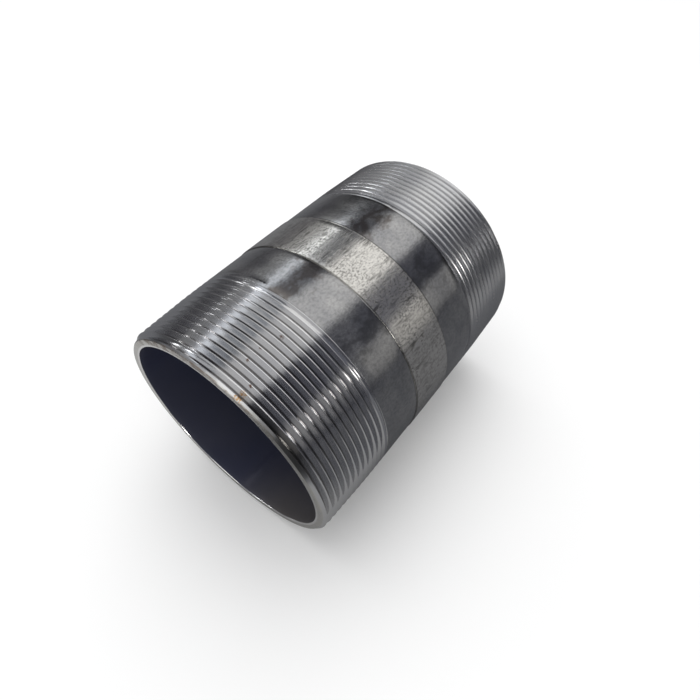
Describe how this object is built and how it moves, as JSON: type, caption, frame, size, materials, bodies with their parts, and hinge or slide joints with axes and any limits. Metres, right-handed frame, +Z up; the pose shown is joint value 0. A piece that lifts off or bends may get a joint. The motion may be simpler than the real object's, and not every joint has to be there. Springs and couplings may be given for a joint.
{
  "type": "threaded pipe nipple",
  "caption": "Short steel pipe with a right-hand taper pipe thread on each end, smooth turned barrels and a band of rough mill surface round the middle.",
  "frame": {"origin": "centre of the nipple, on the pipe's axis halfway between the two end faces", "axes": "+Y along the pipe's axis, +Z up as the nipple lies on its side, weld bead of the seam at -Z inside the bore"},
  "size_m": [0.115, 0.15, 0.115],
  "materials": {
    "bare_steel": "satin"
  },
  "bodies": {
    "root": {"nipple_body": "bare_steel"}
  },
  "joints": []
}
